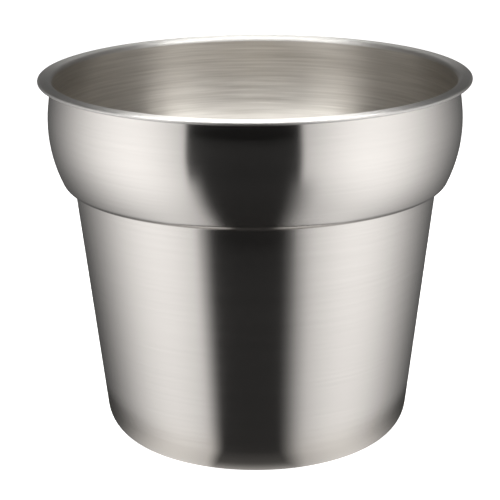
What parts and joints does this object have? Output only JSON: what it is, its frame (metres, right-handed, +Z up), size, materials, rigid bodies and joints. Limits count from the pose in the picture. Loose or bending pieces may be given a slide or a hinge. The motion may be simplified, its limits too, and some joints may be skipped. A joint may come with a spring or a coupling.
{
  "type": "round soup kettle insert pot",
  "caption": "Open round stainless steel soup kettle insert: tapered body, bulged collar and folded rim, lifts into a heated well.",
  "frame": {"origin": "middle of the flat base, on the surface that the pot stands on", "axes": "+Z up along the pot's axis, towards its open mouth; X and Y are any two level directions, because the pot is round"},
  "size_m": [0.2414, 0.2414, 0.208],
  "materials": {
    "brushed_stainless": "satin, brushed round the axis"
  },
  "bodies": {
    "root": {"insert_pot": "brushed_stainless"}
  },
  "joints": []
}
